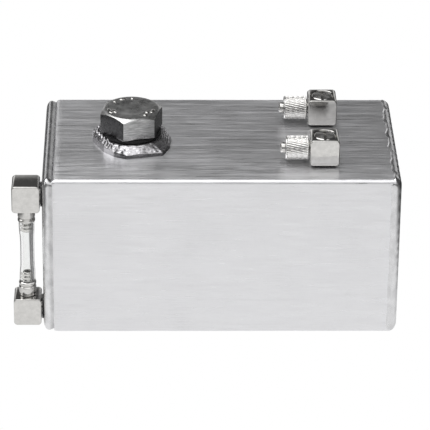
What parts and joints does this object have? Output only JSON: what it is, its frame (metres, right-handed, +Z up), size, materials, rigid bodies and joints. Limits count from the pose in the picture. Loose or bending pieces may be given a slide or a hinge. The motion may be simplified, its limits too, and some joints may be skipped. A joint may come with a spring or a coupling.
{
  "type": "hydraulic reservoir",
  "caption": "Small welded aluminium oil reservoir with a screwed hexagon filler plug, swivelling hose elbows with knurled nuts on top and a clear sight tube on one end.",
  "frame": {"origin": "middle of the tank's flat underside", "axes": "+X along the tank towards the end without the gauge, +Y towards the back wall, +Z up towards the filler plug"},
  "size_m": [0.1086, 0.054, 0.0583],
  "materials": {
    "aluminium": "brushed along the tank, with light scratches",
    "weld": "bare weld metal, rippled and partly ground",
    "plug_steel": "dark zinc-plated steel, brushed on the flats",
    "nickel": "bright nickel plate",
    "rubber": "matt black",
    "clear_hose": "clear soft hose",
    "brass": "bare turned brass"
  },
  "bodies": {
    "root": {"tank_shell": "aluminium", "end_plate_left": "aluminium", "end_plate_right": "aluminium", "weld_bead_left": "weld", "weld_bead_right": "weld", "filler_boss": "aluminium", "filler_weld": "weld", "suction_pipe": "brass", "return_pipe": "brass", "port_front_banjo_screw": "nickel", "port_front_inner_seal": "rubber", "port_front_outer_seal": "rubber", "port_rear_banjo_screw": "nickel", "port_rear_inner_seal": "rubber", "port_rear_outer_seal": "rubber", "gauge_lower_banjo_screw": "nickel", "gauge_lower_inner_seal": "rubber", "gauge_lower_outer_seal": "rubber", "gauge_lower_block": "nickel", "gauge_lower_nipple": "nickel", "gauge_upper_banjo_screw": "nickel", "gauge_upper_inner_seal": "rubber", "gauge_upper_outer_seal": "rubber", "gauge_upper_block": "nickel", "gauge_upper_nipple": "nickel", "gauge_tube": "clear_hose"},
    "plug_seal": {"filler_plug_seal": "rubber"},
    "plug": {"filler_plug": "plug_steel"},
    "front_elbow": {"port_front_block": "nickel", "port_front_nipple": "nickel"},
    "front_clamp": {"clamp_ring_front": "brass"},
    "front_nut": {"knurled_nut_front": "nickel"},
    "rear_elbow": {"port_rear_block": "nickel", "port_rear_nipple": "nickel"},
    "rear_clamp": {"clamp_ring_rear": "brass"},
    "rear_nut": {"knurled_nut_rear": "nickel"}
  },
  "joints": [
    {"name": "plug_lift", "type": "slide", "parent": "root", "child": "plug_seal", "axis": [0, 0, 1], "range_m": [0, 0.015]},
    {"name": "plug_turn", "type": "hinge", "parent": "plug_seal", "child": "plug", "pos_m": [-0.0252, -0.0013, 0.0519], "axis": [0, 0, 1], "range_deg": [0, 3600]},
    {"name": "front_elbow_swivel", "type": "hinge", "parent": "root", "child": "front_elbow", "pos_m": [0.0288, -0.0152, 0.0526], "axis": [0, 0, 1], "range_deg": [-30, 210]},
    {"name": "front_clamp_travel", "type": "slide", "parent": "front_elbow", "child": "front_clamp", "axis": [-1, 0, 0], "range_m": [0, 0.0035]},
    {"name": "front_nut_turn", "type": "hinge", "parent": "front_clamp", "child": "front_nut", "pos_m": [0.0211, -0.0152, 0.0526], "axis": [-1, 0, 0], "range_deg": [0, 2520]},
    {"name": "rear_elbow_swivel", "type": "hinge", "parent": "root", "child": "rear_elbow", "pos_m": [0.0294, 0.0112, 0.0526], "axis": [0, 0, 1], "range_deg": [-210, 30]},
    {"name": "rear_clamp_travel", "type": "slide", "parent": "rear_elbow", "child": "rear_clamp", "axis": [-1, 0, 0], "range_m": [0, 0.0035]},
    {"name": "rear_nut_turn", "type": "hinge", "parent": "rear_clamp", "child": "rear_nut", "pos_m": [0.0217, 0.0112, 0.0526], "axis": [-1, 0, 0], "range_deg": [0, 2520]}
  ],
  "couplings": [
    {"joint": "plug_turn", "follows": "plug_lift", "rad_per_m": 4188.8},
    {"joint": "front_nut_turn", "follows": "front_clamp_travel", "rad_per_m": 12566},
    {"joint": "rear_nut_turn", "follows": "rear_clamp_travel", "rad_per_m": 12566}
  ]
}
